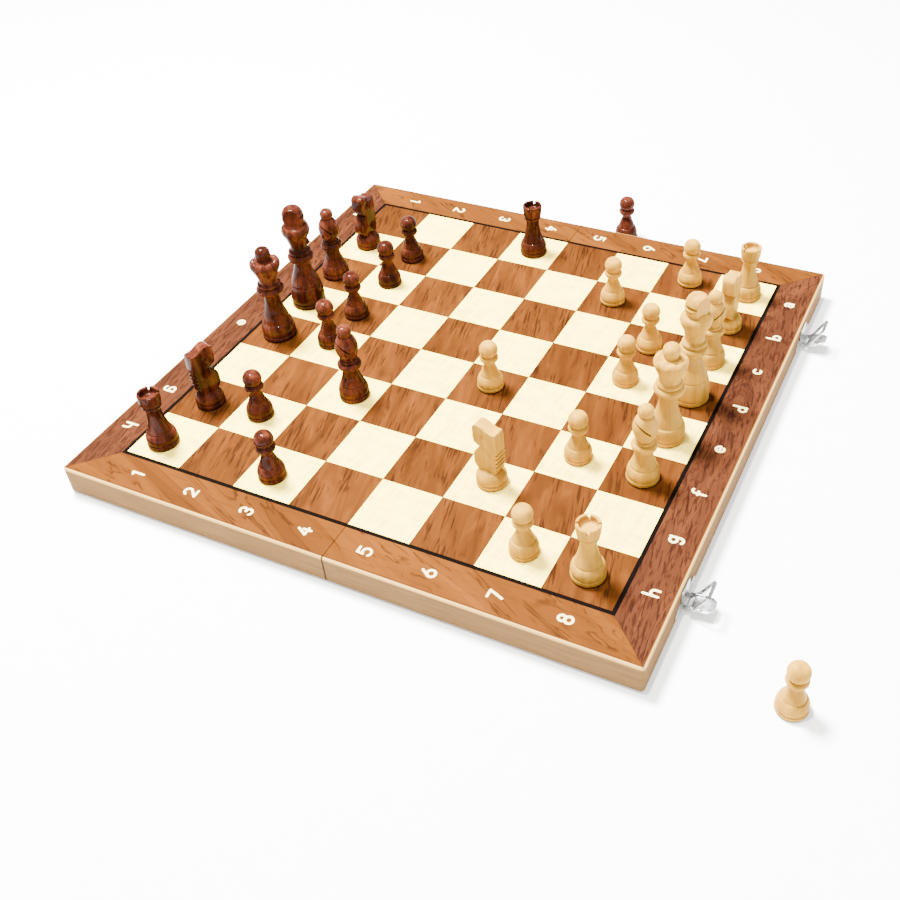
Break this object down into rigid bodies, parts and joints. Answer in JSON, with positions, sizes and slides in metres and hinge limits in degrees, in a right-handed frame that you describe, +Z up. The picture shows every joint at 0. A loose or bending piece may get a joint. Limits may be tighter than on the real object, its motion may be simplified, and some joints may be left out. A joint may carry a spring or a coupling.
{
  "type": "chess set with board",
  "caption": "Folding wooden chess box opened flat as a board, with its carved and turned wooden chessmen set out in mid-game and metal toggle latches on one end.",
  "frame": {"origin": "middle of the open board, on the table, at the line where the two halves meet", "axes": "+X along the numbered edges from rank 1 to rank 8, +Y along the fold from the h file to the a file, +Z up"},
  "size_m": [0.4905, 0.4274, 0.101],
  "materials": {
    "dark_men": "gloss varnish",
    "light_men": "satin varnish",
    "wall_wood": "satin",
    "panel_ply": "plain ply",
    "border_veneer": "satin varnish",
    "inlay_line": "satin varnish",
    "light_squares": "satin varnish",
    "dark_squares": "satin varnish",
    "label_ink": "printed",
    "felt": "felt",
    "hinge_brass": "satin",
    "nickel": "bright nickel plate"
  },
  "bodies": {
    "left_half": {"left_walls": "wall_wood", "left_panel": "panel_ply", "left_border_veneer": "border_veneer", "left_inlay_line": "inlay_line", "left_light_squares": "light_squares", "left_dark_squares": "dark_squares", "left_labels": "label_ink", "left_lining": "felt", "left_hinge_leaves": "hinge_brass", "left_screws": "nickel", "latch_keepers": "nickel", "hinge_pins": "hinge_brass"},
    "right_half": {"right_walls": "wall_wood", "right_panel": "panel_ply", "right_border_veneer": "border_veneer", "right_inlay_line": "inlay_line", "right_light_squares": "light_squares", "right_dark_squares": "dark_squares", "right_labels": "label_ink", "right_lining": "felt", "right_hinge_leaves": "hinge_brass", "right_screws": "nickel", "latch_plates": "nickel"},
    "latch_lever_front": {"latch_lever_front": "nickel"},
    "latch_bail_front": {"latch_bail_front": "nickel"},
    "latch_lever_back": {"latch_lever_back": "nickel"},
    "latch_bail_back": {"latch_bail_back": "nickel"},
    "dark_bishop_c": {"dark_bishop_c": "dark_men"},
    "dark_bishop_f": {"dark_bishop_f": "dark_men"},
    "dark_king": {"dark_king": "dark_men"},
    "dark_knight_b": {"dark_knight_b": "dark_men"},
    "dark_knight_g": {"dark_knight_g": "dark_men"},
    "dark_pawn_a_taken": {"dark_pawn_a_taken": "dark_men"},
    "dark_pawn_b": {"dark_pawn_b": "dark_men"},
    "dark_pawn_c": {"dark_pawn_c": "dark_men"},
    "dark_pawn_d": {"dark_pawn_d": "dark_men"},
    "dark_pawn_e": {"dark_pawn_e": "dark_men"},
    "dark_pawn_f_taken": {"dark_pawn_f_taken": "dark_men"},
    "dark_pawn_g": {"dark_pawn_g": "dark_men"},
    "dark_pawn_h": {"dark_pawn_h": "dark_men"},
    "dark_queen": {"dark_queen": "dark_men"},
    "dark_rook_a": {"dark_rook_a": "dark_men"},
    "dark_rook_h": {"dark_rook_h": "dark_men"},
    "light_bishop_c": {"light_bishop_c": "light_men"},
    "light_bishop_f": {"light_bishop_f": "light_men"},
    "light_king": {"light_king": "light_men"},
    "light_knight_b": {"light_knight_b": "light_men"},
    "light_knight_g": {"light_knight_g": "light_men"},
    "light_pawn_a": {"light_pawn_a": "light_men"},
    "light_pawn_b": {"light_pawn_b": "light_men"},
    "light_pawn_c": {"light_pawn_c": "light_men"},
    "light_pawn_d": {"light_pawn_d": "light_men"},
    "light_pawn_e": {"light_pawn_e": "light_men"},
    "light_pawn_f": {"light_pawn_f": "light_men"},
    "light_pawn_g_taken": {"light_pawn_g_taken": "light_men"},
    "light_pawn_h": {"light_pawn_h": "light_men"},
    "light_queen": {"light_queen": "light_men"},
    "light_rook_a": {"light_rook_a": "light_men"},
    "light_rook_h": {"light_rook_h": "light_men"}
  },
  "joints": [
    {"name": "fold", "type": "hinge", "parent": "left_half", "child": "right_half", "pos_m": [0, 0, 0.00125], "axis": [0, 1, 0], "range_deg": [0, 180]},
    {"name": "latch_front_bail", "type": "hinge", "parent": "latch_lever_front", "child": "latch_bail_front", "pos_m": [0.20147, -0.13, 0.0051], "axis": [0, 1, 0], "range_deg": [0, 232]},
    {"name": "latch_front_lever", "type": "hinge", "parent": "right_half", "child": "latch_lever_front", "pos_m": [0.1979, -0.13, 0.0046], "axis": [0, -1, 0], "range_deg": [0, 82]},
    {"name": "latch_back_bail", "type": "hinge", "parent": "latch_lever_back", "child": "latch_bail_back", "pos_m": [0.20128, 0.13, 0.00583], "axis": [0, 1, 0], "range_deg": [0, 220]},
    {"name": "latch_back_lever", "type": "hinge", "parent": "right_half", "child": "latch_lever_back", "pos_m": [0.1979, 0.13, 0.0046], "axis": [0, -1, 0], "range_deg": [0, 70]},
    {"name": "lift_dark_bishop_c", "type": "slide", "parent": "left_half", "child": "dark_bishop_c", "axis": [0, 0, 1], "range_m": [0, 0.06]},
    {"name": "lift_dark_bishop_f", "type": "slide", "parent": "left_half", "child": "dark_bishop_f", "axis": [0, 0, 1], "range_m": [0, 0.06]},
    {"name": "lift_dark_king", "type": "slide", "parent": "left_half", "child": "dark_king", "axis": [0, 0, 1], "range_m": [0, 0.06]},
    {"name": "lift_dark_knight_b", "type": "slide", "parent": "left_half", "child": "dark_knight_b", "axis": [0, 0, 1], "range_m": [0, 0.06]},
    {"name": "lift_dark_knight_g", "type": "slide", "parent": "left_half", "child": "dark_knight_g", "axis": [0, 0, 1], "range_m": [0, 0.06]},
    {"name": "lift_dark_pawn_a_taken", "type": "slide", "parent": "left_half", "child": "dark_pawn_a_taken", "axis": [0, 0, 1], "range_m": [0, 0.06]},
    {"name": "lift_dark_pawn_b", "type": "slide", "parent": "left_half", "child": "dark_pawn_b", "axis": [0, 0, 1], "range_m": [0, 0.06]},
    {"name": "lift_dark_pawn_c", "type": "slide", "parent": "left_half", "child": "dark_pawn_c", "axis": [0, 0, 1], "range_m": [0, 0.06]},
    {"name": "lift_dark_pawn_d", "type": "slide", "parent": "left_half", "child": "dark_pawn_d", "axis": [0, 0, 1], "range_m": [0, 0.06]},
    {"name": "lift_dark_pawn_e", "type": "slide", "parent": "left_half", "child": "dark_pawn_e", "axis": [0, 0, 1], "range_m": [0, 0.06]},
    {"name": "lift_dark_pawn_f_taken", "type": "slide", "parent": "left_half", "child": "dark_pawn_f_taken", "axis": [0, 0, 1], "range_m": [0, 0.06]},
    {"name": "lift_dark_pawn_g", "type": "slide", "parent": "left_half", "child": "dark_pawn_g", "axis": [0, 0, 1], "range_m": [0, 0.06]},
    {"name": "lift_dark_pawn_h", "type": "slide", "parent": "left_half", "child": "dark_pawn_h", "axis": [0, 0, 1], "range_m": [0, 0.06]},
    {"name": "lift_dark_queen", "type": "slide", "parent": "left_half", "child": "dark_queen", "axis": [0, 0, 1], "range_m": [0, 0.06]},
    {"name": "lift_dark_rook_a", "type": "slide", "parent": "left_half", "child": "dark_rook_a", "axis": [0, 0, 1], "range_m": [0, 0.06]},
    {"name": "lift_dark_rook_h", "type": "slide", "parent": "left_half", "child": "dark_rook_h", "axis": [0, 0, 1], "range_m": [0, 0.06]},
    {"name": "lift_light_bishop_c", "type": "slide", "parent": "right_half", "child": "light_bishop_c", "axis": [0, 0, 1], "range_m": [0, 0.06]},
    {"name": "lift_light_bishop_f", "type": "slide", "parent": "right_half", "child": "light_bishop_f", "axis": [0, 0, 1], "range_m": [0, 0.06]},
    {"name": "lift_light_king", "type": "slide", "parent": "right_half", "child": "light_king", "axis": [0, 0, 1], "range_m": [0, 0.06]},
    {"name": "lift_light_knight_b", "type": "slide", "parent": "right_half", "child": "light_knight_b", "axis": [0, 0, 1], "range_m": [0, 0.06]},
    {"name": "lift_light_knight_g", "type": "slide", "parent": "right_half", "child": "light_knight_g", "axis": [0, 0, 1], "range_m": [0, 0.06]},
    {"name": "lift_light_pawn_a", "type": "slide", "parent": "right_half", "child": "light_pawn_a", "axis": [0, 0, 1], "range_m": [0, 0.06]},
    {"name": "lift_light_pawn_b", "type": "slide", "parent": "right_half", "child": "light_pawn_b", "axis": [0, 0, 1], "range_m": [0, 0.06]},
    {"name": "lift_light_pawn_c", "type": "slide", "parent": "right_half", "child": "light_pawn_c", "axis": [0, 0, 1], "range_m": [0, 0.06]},
    {"name": "lift_light_pawn_d", "type": "slide", "parent": "right_half", "child": "light_pawn_d", "axis": [0, 0, 1], "range_m": [0, 0.06]},
    {"name": "lift_light_pawn_e", "type": "slide", "parent": "right_half", "child": "light_pawn_e", "axis": [0, 0, 1], "range_m": [0, 0.06]},
    {"name": "lift_light_pawn_f", "type": "slide", "parent": "right_half", "child": "light_pawn_f", "axis": [0, 0, 1], "range_m": [0, 0.06]},
    {"name": "lift_light_pawn_g_taken", "type": "slide", "parent": "left_half", "child": "light_pawn_g_taken", "axis": [0, 0, 1], "range_m": [0, 0.06]},
    {"name": "lift_light_pawn_h", "type": "slide", "parent": "right_half", "child": "light_pawn_h", "axis": [0, 0, 1], "range_m": [0, 0.06]},
    {"name": "lift_light_queen", "type": "slide", "parent": "right_half", "child": "light_queen", "axis": [0, 0, 1], "range_m": [0, 0.06]},
    {"name": "lift_light_rook_a", "type": "slide", "parent": "right_half", "child": "light_rook_a", "axis": [0, 0, 1], "range_m": [0, 0.06]},
    {"name": "lift_light_rook_h", "type": "slide", "parent": "right_half", "child": "light_rook_h", "axis": [0, 0, 1], "range_m": [0, 0.06]}
  ],
  "couplings": [
    {"joint": "latch_front_bail", "follows": "latch_front_lever", "ratio": 2.8293},
    {"joint": "latch_back_bail", "follows": "latch_back_lever", "ratio": 3.1429}
  ]
}
